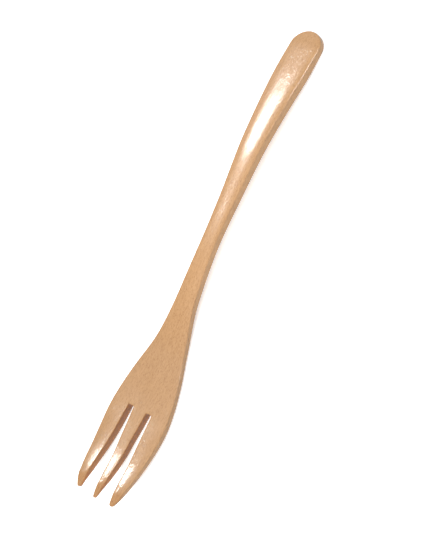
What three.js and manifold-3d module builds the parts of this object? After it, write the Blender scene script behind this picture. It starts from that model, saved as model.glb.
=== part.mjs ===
// Wooden table fork: three tapering tines, a broad head, a narrow neck and a slender handle, all carved from
// one length of pale hardwood.
//
// Millimetres, +Z up. The fork lies on its back, with the belly of its head and the underside of its handle
// end on Z = 0. The tines point along -Y, the handle along +Y, and X = 0 is the plane of symmetry.
// A station is a distance along Y from the tip of the middle tine.

import * as THREE from "three";
import { mergeVertices } from "three/addons/utils/BufferGeometryUtils.js";
import Module from "manifold-3d";

const wasm = await Module();
wasm.setup();

// ---- Driving dimensions ----

const LENGTH = 190;
const SLOT_ROOT = 36;
const HANDLE_END_RADIUS = 6.35;
const WOOD_COLOUR = 0xd8ae84;

// Each profile is a smooth curve through [station, value] points.
const HALF_WIDTH = [
  [0, 8.3],
  [2.5, 9.6],
  [5, 10.45],
  [14, 11.95],
  [30, 13.35],
  [40, 12.6],
  [50, 10.65],
  [62, 7.4],
  [76, 4.75],
  [90, 3.7],
  [105, 3.2],
  [125, 3.8],
  [150, 5.15],
  [172, 6.3],
  [LENGTH - HANDLE_END_RADIUS, HANDLE_END_RADIUS],
];
// Height of the underside. Where the curve dips below zero the wood is sanded flat on Z = 0.
const UNDERSIDE = [
  [0, 7.25],
  [4, 6.4],
  [8, 4.95],
  [18, 2.1],
  [30, 0.45],
  [42, 0],
  [54, 0],
  [64, 0.35],
  [80, 3.1],
  [100, 5.1],
  [122, 5.45],
  [142, 5.7],
  [160, 3.85],
  [174, 1.6],
  [190, -0.4],
];
// The tips are sharpened from both faces over the last few millimetres.
const THICKNESS = [
  [0, 1.2],
  [4, 2.2],
  [7, 3.1],
  [10, 3.5],
  [18, 3.95],
  [30, 4.1],
  [48, 3.8],
  [64, 3.85],
  [100, 3.95],
  [122, 4.1],
  [142, 4.3],
  [166, 4.5],
  [182, 4.3],
  [190, 3.6],
];
// Radius of the upper edges.
const EDGE_RADIUS = [
  [0, 0.3],
  [36, 0.4],
  [80, 0.5],
  [140, 0.6],
  [190, 0.6],
];
// The back curves up towards each side edge: how far in from the edge the curve starts, and how far it rises.
const BACK_WIDTH = [
  [0, 0.6],
  [10, 3.5],
  [20, 5.5],
  [36, 7],
  [55, 6],
  [76, 2.8],
  [90, 1.4],
  [105, 1],
  [190, 1],
];
const BACK_RISE = [
  [0, 0.2],
  [6, 0.8],
  [14, 1.3],
  [36, 1.45],
  [60, 1.4],
  [76, 1.1],
  [90, 0.9],
  [105, 0.8],
  [190, 0.8],
];
// How far the middle of the upper face stands above its edges.
const CROWN = [
  [0, 0],
  [60, 0.15],
  [100, 0.4],
  [150, 0.6],
  [190, 0.4],
];

// Edges of the gap between the middle tine and a side tine, as [distance from X = 0, station] from the slot's
// root to the tips.
const MIDDLE_TINE_EDGE = [
  [3.1, SLOT_ROOT],
  [2.17, 21],
  [1.45, 8.5],
  [1.05, 3.6],
  [0.55, 0.6],
  [0, 0],
];
const SIDE_TINE_EDGE = [
  [5.6, SLOT_ROOT],
  [6.05, 24],
  [6.7, 14],
  [7.05, 5.5],
  [7.25, 2.2],
  [7.7, 0.7],
  [8.5, 1.1],
  [9.4, 2.6],
];
// The middle tine is sawn freehand and bows a little towards +X between its tip and this station.
const MIDDLE_TINE_BOW = 0.45;
const MIDDLE_TINE_BOW_END = 24;
// The cutter for a gap reaches CUTTER_MARGIN past the tips, to the side and below the wood.
const CUTTER_MARGIN = 5;
const CUTTER_HEIGHT = 25;

// Facets of each upper edge, of each curved side of the back, of the crowned upper face and of the round
// handle end.
const EDGE_STEPS = 4;
const BACK_STEPS = 7;
const CROWN_STEPS = 6;
const END_STEPS = 8;
// The round end stops just short of its last point, where the section would have no width.
const END_SWEEP = THREE.MathUtils.degToRad(84);
// Where the cross-sections stand, as [first station, last station, steps]: close together in the curved
// tines and far apart on the flat belly.
const STRETCHES = [
  [0, 6, 4],
  [6, 42, 14],
  [42, 54, 2],
  [54, LENGTH - HANDLE_END_RADIUS, 40],
];

// ---- Profiles ----

function profile(points) {
  const stations = points.map(([station]) => station);
  const values = points.map(([, value]) => value);
  const curve = new THREE.CubicInterpolant(stations, values, 1);
  return (station) => curve.evaluate(station)[0];
}

const sideCurve = profile(HALF_WIDTH);
const undersideCurve = profile(UNDERSIDE);
const thickness = profile(THICKNESS);
const edgeRadius = profile(EDGE_RADIUS);
const backWidth = profile(BACK_WIDTH);
const backRise = profile(BACK_RISE);
const crown = profile(CROWN);

function alongY(station) {
  return station - LENGTH / 2;
}

// Half width at a station, with the handle end turned to a half circle in plan.
function halfWidth(station) {
  const pastCentre = station - (LENGTH - HANDLE_END_RADIUS);
  if (pastCentre <= 0) return sideCurve(station);
  return Math.sqrt(Math.max(HANDLE_END_RADIUS ** 2 - pastCentre ** 2, 0));
}

// How far a face draws in at the very end of the handle, where its edge is rounded over this width and height.
function endInset(station, width, height) {
  const fromEnd = LENGTH - station;
  if (fromEnd >= width) return 0;
  return height * (1 - Math.sqrt(1 - (1 - fromEnd / width) ** 2));
}

// ---- Body ----

// One cross-section as [x, z] points, anticlockwise: a crowned upper face with rounded edges, and a back that
// curves up towards both sides.
function section(station) {
  const half = halfWidth(station);
  const fullDepth = thickness(station);
  const radius = Math.min(edgeRadius(station), 0.45 * fullDepth, 0.8 * half);
  const width = Math.min(backWidth(station), 0.9 * half);
  const height = backRise(station);
  const underside = Math.max(undersideCurve(station), 0);
  const bottom = underside + endInset(station, width, height);
  const top = underside + fullDepth - endInset(station, radius, radius);
  const rise = (x) => crown(station) * (1 - (x / half) ** 2);
  const points = [];
  const corner = (centre, reach, startAngle, steps, lift) => {
    for (let i = 0; i <= steps; i++) {
      const angle = startAngle + (i / steps) * (Math.PI / 2);
      const x = centre[0] + reach[0] * Math.cos(angle);
      points.push([x, centre[1] + reach[1] * Math.sin(angle) + lift(x)]);
    }
  };
  const level = () => 0;
  corner([width - half, bottom + height], [width, height], Math.PI, BACK_STEPS, level);
  corner([half - width, bottom + height], [width, height], 1.5 * Math.PI, BACK_STEPS, level);
  corner([half - radius, top - radius], [radius, radius], 0, EDGE_STEPS, rise);
  for (let i = 1; i < CROWN_STEPS; i++) {
    const x = (half - radius) * (1 - (2 * i) / CROWN_STEPS);
    points.push([x, top + rise(x)]);
  }
  corner([radius - half, top - radius], [radius, radius], 0.5 * Math.PI, EDGE_STEPS, rise);
  return points;
}

// Evenly spaced values from start up to, but not including, end.
function evenly(start, end, steps) {
  return Array.from({ length: steps }, (_, i) => start + ((end - start) * i) / steps);
}

// Stations of the cross-sections, closing up around the handle end.
function stations() {
  const along = STRETCHES.flatMap(([start, end, steps]) => evenly(start, end, steps));
  const sweep = [...evenly(0, END_SWEEP, END_STEPS), END_SWEEP];
  const endCentre = LENGTH - HANDLE_END_RADIUS;
  return [...along, ...sweep.map((angle) => endCentre + HANDLE_END_RADIUS * Math.sin(angle))];
}

// Skins the cross-sections into one closed surface with flat end caps.
function loft() {
  const rings = stations().map((station) => section(station).map(([x, z]) => [x, alongY(station), z]));
  const size = rings[0].length;
  const indices = [];
  for (let ring = 0; ring + 1 < rings.length; ring++) {
    for (let i = 0; i < size; i++) {
      const a = ring * size + i;
      const b = ring * size + ((i + 1) % size);
      indices.push(a, a + size, b + size, a, b + size, b);
    }
  }
  const last = (rings.length - 1) * size;
  for (let i = 1; i + 1 < size; i++) {
    indices.push(0, i, i + 1);
    indices.push(last, last + i + 1, last + i);
  }
  const geometry = new THREE.BufferGeometry();
  geometry.setAttribute("position", new THREE.Float32BufferAttribute(rings.flat(2), 3));
  geometry.setIndex(indices);
  return geometry;
}

function bow(station) {
  const along = THREE.MathUtils.clamp(station / MIDDLE_TINE_BOW_END, 0, 1);
  return MIDDLE_TINE_BOW * Math.sin(Math.PI * along);
}

// Plan of the wood sawn away between the middle tine and one side tine, which also shapes both tips.
function gapPlan(side) {
  const place = ([x, station]) => new THREE.Vector2(side * x, alongY(station));
  const placeBowed = ([x, station]) => new THREE.Vector2(side * x + bow(station), alongY(station));
  const outside = SIDE_TINE_EDGE.at(-1)[0] + CUTTER_MARGIN;
  const plan = new THREE.Shape();
  plan.moveTo(...placeBowed(MIDDLE_TINE_EDGE[0]).toArray());
  plan.splineThru(MIDDLE_TINE_EDGE.slice(1).map(placeBowed));
  plan.lineTo(...place([0, -CUTTER_MARGIN]).toArray());
  plan.lineTo(...place([outside, -CUTTER_MARGIN]).toArray());
  plan.lineTo(...place([outside, 0]).toArray());
  plan.lineTo(...place(SIDE_TINE_EDGE.at(-1)).toArray());
  plan.splineThru(SIDE_TINE_EDGE.slice(0, -1).reverse().map(place));
  plan.closePath();
  return plan;
}

function gapCutter(side) {
  const geometry = new THREE.ExtrudeGeometry(gapPlan(side), {
    depth: CUTTER_HEIGHT,
    bevelEnabled: false,
    curveSegments: 3,
  });
  geometry.translate(0, 0, -CUTTER_MARGIN);
  return geometry;
}

// ---- Booleans ----

function toSolid(geometry) {
  const bare = geometry.clone();
  bare.deleteAttribute("normal");
  bare.deleteAttribute("uv");
  const merged = mergeVertices(bare, 1e-4);
  return new wasm.Manifold(
    new wasm.Mesh({
      numProp: 3,
      vertProperties: merged.attributes.position.array,
      triVerts: new Uint32Array(merged.index.array),
    }),
  );
}

function toGeometry(solid) {
  const { vertProperties, triVerts } = solid.getMesh();
  const geometry = new THREE.BufferGeometry();
  geometry.setAttribute("position", new THREE.BufferAttribute(vertProperties, 3));
  geometry.setIndex(new THREE.BufferAttribute(triVerts, 1));
  geometry.computeVertexNormals();
  return geometry;
}

// ---- The fork ----

function fork() {
  const blank = toSolid(loft());
  const carved = [-1, 1].reduce((wood, side) => wood.subtract(toSolid(gapCutter(side))), blank);
  const material = new THREE.MeshStandardMaterial({ color: WOOD_COLOUR, roughness: 0.35, metalness: 0 });
  const mesh = new THREE.Mesh(toGeometry(carved), material);
  mesh.name = "fork";
  return mesh;
}

const root = new THREE.Group();
root.add(fork());

export default root;
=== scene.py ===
# Looks of the wooden table fork: one carved piece of pale varnished wood that lies on its back on a floor.
#
# The shape is worked out in millimetres and scaled to metres at the end. A station is a distance along +Y
# from the tip of the middle tine, as in the CAD model. +X is across the tines and +Z is up.

import math

import bpy
from mathutils import Matrix, Vector, noise


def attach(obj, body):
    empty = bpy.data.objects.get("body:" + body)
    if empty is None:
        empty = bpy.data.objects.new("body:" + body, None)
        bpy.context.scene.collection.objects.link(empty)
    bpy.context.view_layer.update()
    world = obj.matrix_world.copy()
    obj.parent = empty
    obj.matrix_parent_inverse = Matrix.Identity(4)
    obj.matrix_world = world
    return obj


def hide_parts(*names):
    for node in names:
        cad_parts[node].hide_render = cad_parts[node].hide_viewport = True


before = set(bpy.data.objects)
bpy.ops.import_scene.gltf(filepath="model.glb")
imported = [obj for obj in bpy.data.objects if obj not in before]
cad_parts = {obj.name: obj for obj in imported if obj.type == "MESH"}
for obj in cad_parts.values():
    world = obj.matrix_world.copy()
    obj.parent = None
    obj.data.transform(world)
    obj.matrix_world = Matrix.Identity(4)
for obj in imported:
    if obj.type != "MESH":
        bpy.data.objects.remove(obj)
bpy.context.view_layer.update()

MM = 0.001

# ---- Driving dimensions of the fork, in millimetres ----

LENGTH = 190.0
SLOT_ROOT = 36.0
HANDLE_END_RADIUS = 6.35
HANDLE_END_CENTRE = LENGTH - HANDLE_END_RADIUS

# Each profile is a smooth curve through (station, value) points.
HALF_WIDTH = [
    (0, 8.3), (2.5, 9.6), (5, 10.45), (14, 11.95), (30, 13.35), (40, 12.6), (50, 10.65), (62, 7.4),
    (76, 4.75), (90, 3.7), (105, 3.2), (125, 3.8), (150, 5.15), (172, 6.3),
    (HANDLE_END_CENTRE, HANDLE_END_RADIUS),
]
# Height of the underside. Where the curve dips below zero the wood is sanded flat on Z = 0.
UNDERSIDE = [
    (0, 7.25), (4, 6.4), (8, 4.95), (18, 2.1), (30, 0.45), (42, 0), (54, 0), (64, 0.35), (80, 3.1),
    (100, 5.1), (122, 5.45), (142, 5.7), (160, 3.85), (174, 1.6), (LENGTH, -0.4),
]
THICKNESS = [
    (0, 1.9), (4, 2.62), (7, 3.12), (10, 3.5), (18, 3.92), (24, 4.12), (32, 4.2), (48, 3.8), (64, 3.85),
    (100, 3.95), (122, 4.1), (142, 4.3), (166, 4.56), (172, 4.6), (178, 4.32), (184, 3.93), (LENGTH, 3.1),
]
# Radius of the upper edges.
EDGE_RADIUS = [(0, 0.3), (36, 0.4), (80, 0.5), (140, 0.6), (LENGTH, 0.6)]
# The back curves up towards each side edge, from BACK_WIDTH inside it and by BACK_RISE.
BACK_WIDTH = [
    (0, 0.6), (10, 3.5), (20, 5.5), (36, 7), (55, 6), (76, 2.8), (90, 1.4), (105, 1), (LENGTH, 1),
]
BACK_RISE = [
    (0, 0.2), (6, 0.8), (14, 1.3), (36, 1.45), (60, 1.4), (76, 1.1), (90, 0.9), (105, 0.8), (LENGTH, 0.8),
]
# How far the middle of the upper face stands above its edges, and how suddenly it falls away to them.
CROWN = [(0, 0), (60, 0.15), (100, 0.4), (150, 0.6), (LENGTH, 0.4)]
CROWN_POWER = 2.7

# An edge's rounding takes up at most this share of the thickness.
LARGEST_EDGE_SHARE = 0.45

# Half width of the middle tine, and distance from X = 0 of a side tine's inner edge.
MIDDLE_TINE = [(0.7, 0.65), (3.6, 1.05), (8.5, 1.45), (21, 2.17), (SLOT_ROOT, 3.1)]
SIDE_TINE_EDGE = [(1.5, 7.3), (5.5, 7.05), (14, 6.7), (24, 6.05), (SLOT_ROOT, 5.6)]
# The middle tine bows a little towards +X between its tip and this station.
MIDDLE_TINE_BOW = 0.45
MIDDLE_TINE_BOW_END = 24.0
# The middle tine is nearer to X = 0 than this, and the side tines are farther from it.
MIDDLE_TINE_REACH = 4.5
# A tip counts as at least this half wide, so that the shares across it stay finite.
LEAST_TIP_HALF = 0.5
SLOT_EDGE_RADIUS = 0.35
# The slots' lower edges are rounded off higher up.
SLOT_BACK_RISE = 0.8

# Each tine's upper face is sanded a little round, and leans. A lean is the fall towards +X per millimetre.
LEFT, MIDDLE, RIGHT = -1, 0, 1
TINE_CROWN = {LEFT: 0.16, MIDDLE: 0.08, RIGHT: 0.21}
TINE_LEAN = {LEFT: -0.075, MIDDLE: 0.03, RIGHT: 0.07}
# The crown and lean fade out between these stations, towards the flat head.
TINE_FADE = (24.0, 38.0)
# The tips are pared down from a crest that slants from one station at a tine's left edge to another at its
# right. From the tip to the crest the face rises by TIP_SLOPE per millimetre. The paring is rounded into the
# rest of the face, and is over TIP_CREST_REACH behind the crest.
TIP_CREST = (5.0, 7.2)
TIP_SLOPE = 0.03
TIP_CREST_RADIUS = 0.12
TIP_CREST_REACH = 3.0

# Unevenness left by hand sanding.
HAND_WAVE = 0.05
HAND_WAVE_LENGTH = 9.0


def profile(points):
    """A smooth curve through the points, where each point's slope is that between its two neighbours."""
    stations = [p[0] for p in points]
    values = [p[1] for p in points]
    last = len(points) - 1

    def slope(i):
        low, high = max(i - 1, 0), min(i + 1, last)
        return (values[high] - values[low]) / (stations[high] - stations[low])

    def value(station):
        s = min(max(station, stations[0]), stations[-1])
        i = max(k for k in range(last) if stations[k] <= s)
        width = stations[i + 1] - stations[i]
        t = (s - stations[i]) / width
        return (
            (2 * t**3 - 3 * t**2 + 1) * values[i]
            + (t**3 - 2 * t**2 + t) * width * slope(i)
            + (3 * t**2 - 2 * t**3) * values[i + 1]
            + (t**3 - t**2) * width * slope(i + 1)
        )

    return value


half_width = profile(HALF_WIDTH)
underside_curve = profile(UNDERSIDE)
thickness = profile(THICKNESS)
edge_radius = profile(EDGE_RADIUS)
back_width = profile(BACK_WIDTH)
back_rise = profile(BACK_RISE)
crown = profile(CROWN)
middle_tine = profile(MIDDLE_TINE)
side_tine_edge = profile(SIDE_TINE_EDGE)


def mix(a, b, t):
    return a + (b - a) * t


def ease(t):
    t = min(max(t, 0), 1)
    return t * t * (3 - 2 * t)


def bow(station):
    along = min(max(station / MIDDLE_TINE_BOW_END, 0), 1)
    return MIDDLE_TINE_BOW * math.sin(math.pi * along)


# ---- Heights of the two faces ----


def from_edge(x, station):
    """Distance of a point of the plan from the fork's side edge or from the round handle end."""
    if station > HANDLE_END_CENTRE:
        return HANDLE_END_RADIUS - math.hypot(x, station - HANDLE_END_CENTRE)
    return half_width(station) - abs(x)


def lower_face(x, station):
    flat = max(underside_curve(station), 0)
    inwards = min(max(1 - from_edge(x, station) / back_width(station), 0), 1)
    return flat + back_rise(station) * (1 - math.sqrt(1 - inwards**2))


def which_tine(x):
    if abs(x) < MIDDLE_TINE_REACH:
        return MIDDLE
    return LEFT if x < 0 else RIGHT


def tine_centre_and_half(tine, station):
    if tine == MIDDLE:
        return bow(station), max(middle_tine(station), LEAST_TIP_HALF)
    inner, outer = side_tine_edge(station), half_width(station)
    return tine * (inner + outer) / 2, max((outer - inner) / 2, LEAST_TIP_HALF)


def upper_curve(station):
    return max(underside_curve(station), 0) + thickness(station)


def tine_rounding(x, station):
    """What the sanding and the paring of each tine add to the height of the head's upper face."""
    strength = 1 - ease((station - TINE_FADE[0]) / (TINE_FADE[1] - TINE_FADE[0]))
    if strength == 0:
        return 0
    tine = which_tine(x)
    centre, half = tine_centre_and_half(tine, station)
    across = min(max((x - centre) / half, -1), 1)
    rounding = strength * (TINE_CROWN[tine] * (1 - across**2) - TINE_LEAN[tine] * half * across)
    crest = mix(*TIP_CREST, (across + 1) / 2)
    if station >= crest + TIP_CREST_REACH:
        return rounding
    spare = upper_curve(station) - upper_curve(crest) - TIP_SLOPE * (station - crest)
    pared = (spare + math.sqrt(spare**2 + TIP_CREST_RADIUS**2)) / 2
    return rounding - pared


def upper_face(x, station):
    half = half_width(min(station, HANDLE_END_CENTRE))
    share = min(max(1 - from_edge(x, station) / half, 0), 1)
    place = Vector((x, station, 0)) / HAND_WAVE_LENGTH
    wave = HAND_WAVE * noise.noise(place)
    crowned = upper_curve(station) + crown(station) * (1 - share**CROWN_POWER)
    return crowned + tine_rounding(x, station) + wave


# ---- Plan of the upper face, drawn in from every edge by that edge's radius ----

# Quads across a side tine, a slot and the middle tine, and rows along the tines and along the rest.
SIDE_COLUMNS = 8
SLOT_COLUMNS = 4
MIDDLE_COLUMNS = 8
TINE_ROWS = 36
BODY_ROWS = 110
# How much closer together the rows stand towards the tips. At 0 they are evenly spaced.
ROW_CROWDING = 0.6
# A tine's straight rows bend into its round tip over this many tip radii, and so do the handle's.
END_SPREAD = 2.5
# The columns, which follow the tines at the slots' root, are evenly spread this far past it.
COLUMN_SPREAD = 30.0

ROOT_ROW = SLOT_ROOT + SLOT_EDGE_RADIUS


def rounded_strip(across, distance, radius, towards):
    """Bends a strip's straight rows into its round end.

    across runs from -1 to 1 over the strip and distance is how far the row is from the end circle's centre.
    Returns the place across as a share of the half width, and the shift along Y.
    """
    bend = 1 - ease(distance / (END_SPREAD * radius))
    quarter = math.pi / 2 * across
    return mix(across, math.sin(quarter), bend), towards * bend * radius * math.cos(quarter)


def tine_strip(start, centre, half, columns):
    """Rows of (x, station) from a tine's tip to the slots' root."""
    radius = half(start)
    rows = []
    for j in range(TINE_ROWS + 1):
        q = j / TINE_ROWS
        station = mix(start, ROOT_ROW, ROW_CROWDING * q * q + (1 - ROW_CROWDING) * q)
        row = []
        for i in range(columns + 1):
            place, shift = rounded_strip(2 * i / columns - 1, station - start, radius, -1)
            row.append((centre(station) + half(station) * place, station + shift))
        rows.append(row)
    return rows


def side_strip(side):
    def edges(station):
        return side_tine_edge(station) + SLOT_EDGE_RADIUS, half_width(station) - edge_radius(station)

    def centre(station):
        return side * sum(edges(station)) / 2

    def half(station):
        inner, outer = edges(station)
        return (outer - inner) / 2

    return tine_strip(SIDE_TINE_EDGE[0][0], centre, half, SIDE_COLUMNS)


def middle_strip():
    def half(station):
        return middle_tine(station) - SLOT_EDGE_RADIUS

    return tine_strip(MIDDLE_TINE[0][0], bow, half, MIDDLE_COLUMNS)


def root_shares():
    """Where the columns stand on the root row, as shares of the half width."""
    outer = half_width(ROOT_ROW) - edge_radius(ROOT_ROW)
    inner = (side_tine_edge(ROOT_ROW) + SLOT_EDGE_RADIUS) / outer
    middle = (middle_tine(ROOT_ROW) - SLOT_EDGE_RADIUS) / outer
    left = [mix(-1, -inner, i / SIDE_COLUMNS) for i in range(SIDE_COLUMNS)]
    left += [mix(-inner, -middle, i / SLOT_COLUMNS) for i in range(SLOT_COLUMNS)]
    left += [mix(-middle, 0, i / MIDDLE_COLUMNS * 2) for i in range(MIDDLE_COLUMNS // 2)]
    return left + [0.0] + [-share for share in reversed(left)]


def body_rows():
    """Rows of the head, the neck and the handle, from the slots' root to the handle's end."""
    shares = root_shares()
    end_radius = HANDLE_END_RADIUS - edge_radius(HANDLE_END_CENTRE)
    rows = []
    for j in range(BODY_ROWS + 1):
        station = mix(ROOT_ROW, HANDLE_END_CENTRE, j / BODY_ROWS)
        spread = ease((station - ROOT_ROW) / COLUMN_SPREAD)
        half = half_width(station) - edge_radius(station)
        row = []
        for i, share in enumerate(shares):
            even = 2 * i / (len(shares) - 1) - 1
            across = mix(share, even, spread)
            place, shift = rounded_strip(across, HANDLE_END_CENTRE - station, end_radius, 1)
            row.append((half * place, station + shift))
        rows.append(row)
    return rows


class Sheet:
    """A plan mesh of quads that merges points at the same place."""

    def __init__(self):
        self.points = []
        self.quads = []
        self.index = {}

    def add(self, point):
        key = (round(point[0], 4), round(point[1], 4))
        if key not in self.index:
            self.index[key] = len(self.points)
            self.points.append(point)
        return self.index[key]

    def grid(self, rows):
        ids = [[self.add(p) for p in row] for row in rows]
        for near, far in zip(ids, ids[1:]):
            for a, b, c, d in zip(near, near[1:], far[1:], far):
                self.quads.append((a, b, c, d))

    def rim(self):
        """The point numbers round the edge, with the wood on the left."""
        edges = set()
        for quad in self.quads:
            edges.update(zip(quad, quad[1:] + quad[:1]))
        follow = {a: b for a, b in edges if (b, a) not in edges}
        loop = [min(follow)]
        while follow[loop[-1]] != loop[0]:
            loop.append(follow[loop[-1]])
        return loop


def fork_sheet():
    body = body_rows()
    last = len(body[0]) - 1
    strips = {
        0: side_strip(LEFT),
        SIDE_COLUMNS + SLOT_COLUMNS: middle_strip(),
        last - SIDE_COLUMNS: side_strip(RIGHT),
    }
    sheet = Sheet()
    for first, strip in strips.items():
        columns = len(strip[0])
        sheet.grid(strip[:-1] + [body[0][first:first + columns]])
    sheet.grid(body)
    return sheet


# ---- Mesh ----

# Rings round each edge, from a face to the middle of the wall.
EDGE_STEPS = 5
# The sharper a corner of the rim, the farther it is pushed out, until 1 plus its cosine falls to this.
CORNER_LIMIT = 0.5
# A point of the rim still belongs to a slot this far behind the row at its root, and this far to its side.
SLOT_SLACK = 0.1
SLOT_RIM_REACH = 1.5 * SLOT_EDGE_RADIUS


def outward(points, loop, k):
    """The direction away from the wood at the loop's point k, longer at corners to keep walls in place."""
    here = Vector(points[loop[k]])
    before = here - Vector(points[loop[k - 1]])
    after = Vector(points[loop[(k + 1) % len(loop)]]) - here
    normals = [Vector((d.y, -d.x)).normalized() for d in (before, after)]
    return (normals[0] + normals[1]) / max(1 + normals[0].dot(normals[1]), CORNER_LIMIT)


def on_slot(x, station):
    """Whether a point of the rim is on a slot. The rim stands one edge radius inside the wood."""
    return station < ROOT_ROW + SLOT_SLACK and abs(x) < side_tine_edge(station) + SLOT_RIM_REACH


def rim_ring(sheet, loop, verts, share, upper):
    """Adds a ring of points round the edge and returns their numbers.

    share is 0 at a face and 1 at the middle of the wall.
    """
    angle = share * math.pi / 2
    ring = []
    for k, i in enumerate(loop):
        x, station = sheet.points[i]
        slot = on_slot(x, station)
        radius = SLOT_EDGE_RADIUS if slot else edge_radius(station)
        way = outward(sheet.points, loop, k) * radius * math.sin(angle)
        here = (x + way.x, station + way.y)
        low, high = lower_face(x, station), upper_face(x, station)
        largest = LARGEST_EDGE_SHARE * (high - low)
        if upper:
            z = high - min(radius, largest) * (1 - math.cos(angle))
        elif slot:
            z = low + min(SLOT_BACK_RISE, largest) * (1 - math.cos(angle))
        else:
            z = lower_face(*here)
        ring.append(len(verts))
        verts.append((*here, z))
    return ring


def fork_mesh():
    sheet = fork_sheet()
    loop = sheet.rim()
    count = len(sheet.points)
    verts = [(x, station, upper_face(x, station)) for x, station in sheet.points]
    verts += [(x, station, lower_face(x, station)) for x, station in sheet.points]
    faces = list(sheet.quads)
    faces += [tuple(count + i for i in reversed(quad)) for quad in sheet.quads]

    rings = [loop]
    for step in range(1, EDGE_STEPS + 1):
        rings.append(rim_ring(sheet, loop, verts, step / EDGE_STEPS, upper=True))
    for step in range(EDGE_STEPS, 0, -1):
        rings.append(rim_ring(sheet, loop, verts, step / EDGE_STEPS, upper=False))
    rings.append([count + i for i in loop])
    for upper, lower in zip(rings, rings[1:]):
        for k in range(len(loop)):
            n = (k + 1) % len(loop)
            faces.append((upper[k], lower[k], lower[n], upper[n]))
    return verts, faces


def build_fork():
    verts, faces = fork_mesh()
    mesh = bpy.data.meshes.new("carved_fork")
    mesh.from_pydata([(x * MM, (y - LENGTH / 2) * MM, z * MM) for x, y, z in verts], [], faces)
    mesh.shade_smooth()
    piece = bpy.data.objects.new("carved_fork", mesh)
    bpy.context.scene.collection.objects.link(piece)
    smooth = piece.modifiers.new("smooth", "SUBSURF")
    smooth.levels = 1
    smooth.render_levels = 1
    return piece


# ---- Materials ----


class Nodes:
    """Short calls for the nodes of one material."""

    def __init__(self, material):
        material.use_nodes = True
        self.tree = material.node_tree
        self.shader = self.tree.nodes["Principled BSDF"]
        self.place = self.new("ShaderNodeTexCoord").outputs["Object"]

    def new(self, kind, **settings):
        node = self.tree.nodes.new(kind)
        for name, value in settings.items():
            setattr(node, name, value)
        return node

    def set(self, socket, value):
        if isinstance(value, bpy.types.NodeSocket):
            self.tree.links.new(value, socket)
        else:
            socket.default_value = value

    def stretched(self, size, shift=(0, 0, 0)):
        """The place in units of size, a length in millimetres along each of X, Y and Z."""
        node = self.new("ShaderNodeMapping")
        self.set(node.inputs["Vector"], self.place)
        node.inputs["Scale"].default_value = [1 / (length * MM) for length in size]
        node.inputs["Location"].default_value = shift
        return node.outputs["Vector"]

    def noise(self, size, detail=2.0, roughness=0.5, distortion=0.0, shift=(0, 0, 0)):
        node = self.new("ShaderNodeTexNoise")
        self.set(node.inputs["Vector"], self.stretched(size, shift))
        self.set(node.inputs["Scale"], 1.0)
        self.set(node.inputs["Detail"], detail)
        self.set(node.inputs["Roughness"], roughness)
        self.set(node.inputs["Distortion"], distortion)
        return node.outputs["Fac"]

    def math(self, operation, *values):
        node = self.new("ShaderNodeMath", operation=operation)
        for socket, value in zip(node.inputs, values):
            self.set(socket, value)
        return node.outputs["Value"]

    def ramp(self, value, low, high, to_low=0.0, to_high=1.0):
        """A smooth step from to_low where the value is low to to_high where it is high."""
        node = self.new("ShaderNodeMapRange", interpolation_type="SMOOTHSTEP")
        for name, number in (("Value", value), ("From Min", low), ("From Max", high),
                             ("To Min", to_low), ("To Max", to_high)):
            self.set(node.inputs[name], number)
        return node.outputs["Result"]

    def size_of(self, vector, axis):
        """One coordinate of a vector without its sign."""
        parts = self.new("ShaderNodeSeparateXYZ")
        self.set(parts.inputs["Vector"], vector)
        return self.math("ABSOLUTE", parts.outputs[axis])

    def along(self, start, end):
        """Rises from 0 at one station to 1 at another."""
        parts = self.new("ShaderNodeSeparateXYZ")
        self.set(parts.inputs["Vector"], self.place)
        low, high = ((station - LENGTH / 2) * MM for station in (start, end))
        return self.ramp(parts.outputs["Y"], low, high)

    def blend(self, factor, a, b, kind="MIX"):
        node = self.new("ShaderNodeMix", data_type="RGBA", blend_type=kind)
        sockets = [s for s in node.inputs if s.enabled]
        for socket, value in zip(sockets, (factor, a, b)):
            self.set(socket, value)
        return next(s for s in node.outputs if s.enabled)

    def bump(self, pattern, height):
        """A normal for a pattern that stands up by this many millimetres."""
        node = self.new("ShaderNodeBump")
        self.set(node.inputs["Height"], pattern)
        node.inputs["Distance"].default_value = height * MM
        node.inputs["Strength"].default_value = 1.0
        return node.outputs["Normal"]


# Colours of the wood. The last three multiply the others in some places: darker end grain with painted shade
# on the tips, a paler handle with painted light, and painted shade on the slots' walls.
WOOD_LIGHT = (0.4, 0.228, 0.104, 1)
WOOD_MID = (0.365, 0.202, 0.087, 1)
WOOD_DARK = (0.25, 0.12, 0.044, 1)
FLECK = (0.19, 0.078, 0.026, 1)
# Darkens the tips: darker end grain, and painted shade for the darker surroundings that the tips mirror.
END_GRAIN_AND_SHADE = (0.9, 0.82, 0.68, 1)
# Lightens the handle: paler wood, and painted light for the varnish's sheen there.
PALE_HANDLE_AND_SHEEN = (1.17, 1.17, 1.17, 1)
# Painted shade and warm bounce light on the slots' walls.
SLOT_SHADE = (1.1, 0.8, 0.45, 1)

# Sizes of the wood's marks and of the ripples in its varnish along X, Y and Z, and the heights of the ones
# that can be felt.
FIBRE_SIZE = (1.1, 22, 1.1)
GRAIN_SIZE = (0.42, 2.2, 0.42)
FLECK_SIZE = (0.4, 0.9, 0.4)
CLOUD_SIZE = (7, 34, 7)
RIPPLE_SIZE = (0.6, 0.65, 0.6)
GRAIN_HEIGHT = 0.03
RIPPLE_HEIGHT = 0.07
# A mark shows where its noise rises through its step, up to its strength.
FIBRE_STEP = (0.25, 0.8)
GRAIN_STEP = (0.4, 0.7)
FLECK_STEP = (0.55, 0.72)
CLOUD_STEP = (0.35, 0.7)
GRAIN_STRENGTH = 0.5
FLECK_STRENGTH = 0.4
CLOUD_STRENGTH = 0.25

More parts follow.
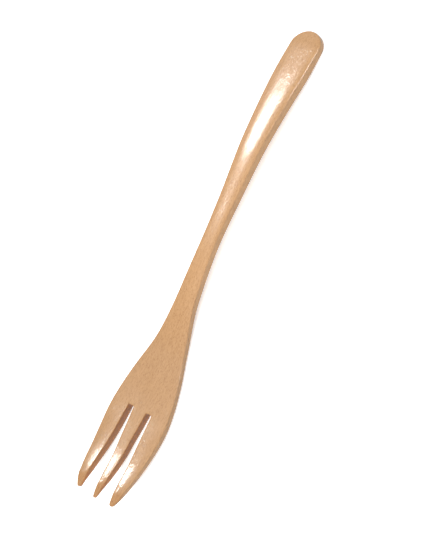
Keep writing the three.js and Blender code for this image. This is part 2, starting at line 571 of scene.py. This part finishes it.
# Stations between which the tips turn to end grain with painted shade, the wood turns to that of the pale
# handle with painted light, and the painted shade of the slots' walls ends behind the slots.
END_GRAIN_AND_SHADE_RANGE = (9, 4)
PALE_HANDLE_AND_SHEEN_RANGE = (50, 100)
SLOT_SHADE_RANGE = (37.2, 36.6)
# The slots' painted shade fades in between these distances from X = 0, and between these sizes of the
# normal's Z.
SLOT_SHADE_REACH = (8.4, 7.9)
SLOT_SHADE_SLANT = (0.75, 0.35)


def slot_wall_shade(n):
    """1 on the sawn walls of the slots, where painted shade and warm bounce light darken the wood, and 0
    elsewhere.
    """
    normal = n.new("ShaderNodeNewGeometry").outputs["Normal"]
    upright = n.ramp(n.size_of(normal, "Z"), *SLOT_SHADE_SLANT)
    inside = n.ramp(n.size_of(n.place, "X"), *(reach * MM for reach in SLOT_SHADE_REACH))
    return n.math("MULTIPLY", n.math("MULTIPLY", upright, inside), n.along(*SLOT_SHADE_RANGE))


def wood_colour(n, grain):
    """Long fibres with fine grain, short flecks and broad clouds over them."""
    fibres = n.noise(FIBRE_SIZE, detail=3, roughness=0.6, distortion=0.1)
    flecks = n.noise(FLECK_SIZE, detail=1, shift=(9, 2, 4))
    clouds = n.noise(CLOUD_SIZE, detail=2, shift=(3, 1, 5))

    tone = n.blend(n.ramp(fibres, *FIBRE_STEP), WOOD_LIGHT, WOOD_MID)
    tone = n.blend(n.ramp(grain, *GRAIN_STEP, to_high=GRAIN_STRENGTH), tone, WOOD_DARK)
    tone = n.blend(n.ramp(flecks, *FLECK_STEP, to_high=FLECK_STRENGTH), tone, FLECK)
    tone = n.blend(n.ramp(clouds, *CLOUD_STEP, to_high=CLOUD_STRENGTH), tone, WOOD_MID)
    # Painted shade on the tips, together with their darker end grain.
    tone = n.blend(n.along(*END_GRAIN_AND_SHADE_RANGE), tone, END_GRAIN_AND_SHADE, "MULTIPLY")
    # Painted light on the handle, together with its paler wood.
    tone = n.blend(n.along(*PALE_HANDLE_AND_SHEEN_RANGE), tone, PALE_HANDLE_AND_SHEEN, "MULTIPLY")
    # Painted shade and warm bounce light on the slots' walls.
    return n.blend(slot_wall_shade(n), tone, SLOT_SHADE, "MULTIPLY")


def wood_material():
    material = bpy.data.materials.new("varnished_wood")
    n = Nodes(material)

    grain = n.noise(GRAIN_SIZE, detail=3, roughness=0.75)
    n.set(n.shader.inputs["Base Color"], wood_colour(n, grain))
    n.set(n.shader.inputs["Roughness"], n.ramp(grain, 0.3, 0.7, 0.28, 0.36))
    n.set(n.shader.inputs["Normal"], n.bump(grain, GRAIN_HEIGHT))
    n.shader.inputs["Specular IOR Level"].default_value = 0.35

    ripples = n.noise(RIPPLE_SIZE, detail=1, roughness=0.5)
    n.shader.inputs["Coat Weight"].default_value = 1.0
    n.shader.inputs["Coat Roughness"].default_value = 0.1
    n.shader.inputs["Coat IOR"].default_value = 1.5
    n.set(n.shader.inputs["Coat Normal"], n.bump(ripples, RIPPLE_HEIGHT))
    return material


def floor_material():
    """A pale sheet that is lit a little from below, which keeps the fork's shadow faint."""
    material = bpy.data.materials.new("pale_floor")
    material.use_nodes = True
    shader = material.node_tree.nodes["Principled BSDF"]
    shader.inputs["Base Color"].default_value = (0.93, 0.93, 0.93, 1)
    shader.inputs["Roughness"].default_value = 0.9
    shader.inputs["Specular IOR Level"].default_value = 0.2
    shader.inputs["Emission Color"].default_value = (1, 1, 1, 1)
    shader.inputs["Emission Strength"].default_value = 0.4
    return material


# ---- Stage, light and camera, in metres ----

FLOOR_REACH = 3.0


def build_floor():
    r = FLOOR_REACH
    mesh = bpy.data.meshes.new("floor")
    mesh.from_pydata([(-r, -r, 0), (r, -r, 0), (r, r, 0), (-r, r, 0)], [], [(0, 1, 2, 3)])
    mesh.materials.append(floor_material())
    floor = bpy.data.objects.new("floor", mesh)
    floor.visible_glossy = False
    bpy.context.scene.collection.objects.link(floor)


def build_room():
    """A plain grey room round the stage."""
    world = bpy.data.worlds.new("studio")
    bpy.context.scene.world = world
    world.use_nodes = True
    background = world.node_tree.nodes["Background"]
    background.inputs["Color"].default_value = (1, 1, 1, 1)
    background.inputs["Strength"].default_value = 0.45


def softbox(name, direction, distance, size, radiance, gloss):
    """A rectangular area light that faces the fork's middle from a distance.

    If gloss is true it only makes highlights. Otherwise it lights the wood and the floor, unmirrored.
    """
    light = bpy.data.lights.new(name, "AREA")
    light.shape = "RECTANGLE"
    light.size, light.size_y = size
    light.energy = radiance * math.pi * size[0] * size[1]
    lamp = bpy.data.objects.new(name, light)
    way = Vector(direction).normalized()
    across = (Vector((1, 0, 0)) - way.x * way).normalized()
    facing = Matrix((across, way.cross(across), way)).transposed().to_4x4()
    lamp.matrix_world = Matrix.Translation(way * distance) @ facing
    lamp.visible_diffuse = not gloss
    lamp.visible_glossy = gloss
    bpy.context.scene.collection.objects.link(lamp)


def build_lights():
    """One main light from above, and others that the varnish mirrors towards the camera."""
    softbox("key", (0.05, -0.3, 1.0), 1.6, (1.8, 1.8), 4.5, gloss=False)
    # The highlight on the tines and the handle, its soft lower edge, and its faint ends along the handle.
    softbox("glare", (-0.49, 0.27, 0.826), 3.0, (0.54, 0.95), 38.0, gloss=True)
    softbox("glare_fringe", (-0.50, 0.125, 0.826), 2.9, (0.75, 0.36), 3.5, gloss=True)
    softbox("glare_handle", (-0.52, 0.06, 0.85), 0.7, (0.39, 0.10), 0.7, gloss=True)
    softbox("glare_end", (-0.52, 0.50, 0.70), 3.0, (1.2, 0.41), 0.65, gloss=True)
    # The thin line along the right edge of the handle's end.
    softbox("rim", (0.80, 0.42, 0.45), 3.0, (0.9, 0.9), 20.0, gloss=True)


def build_camera():
    """A camera over the fork's right side, turned so that the fork leans across the picture."""
    target = Vector((4.85, 0.145, 4.79)) * MM
    distance = 412.25 * MM
    azimuth, elevation, roll = (math.radians(a) for a in (90.89, 58.54, 24.31))
    back = Vector((
        math.sin(azimuth) * math.cos(elevation),
        -math.cos(azimuth) * math.cos(elevation),
        math.sin(elevation),
    ))
    along = Vector((0, 1, 0))
    up = (along - along.dot(back) * back).normalized()
    up.rotate(Matrix.Rotation(roll, 3, back))
    right = up.cross(back)
    data = bpy.data.cameras.new("camera")
    data.lens = 75.24
    data.clip_start = 0.01
    camera = bpy.data.objects.new("camera", data)
    rotation = Matrix((right, up, back)).transposed().to_4x4()
    camera.matrix_world = Matrix.Translation(target + back * distance) @ rotation
    bpy.context.scene.collection.objects.link(camera)
    bpy.context.scene.camera = camera


bpy.context.scene.view_settings.view_transform = "Standard"
build_camera()
build_floor()
build_room()
build_lights()

fork = build_fork()
fork.data.materials.append(wood_material())
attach(fork, "root")
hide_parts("fork")
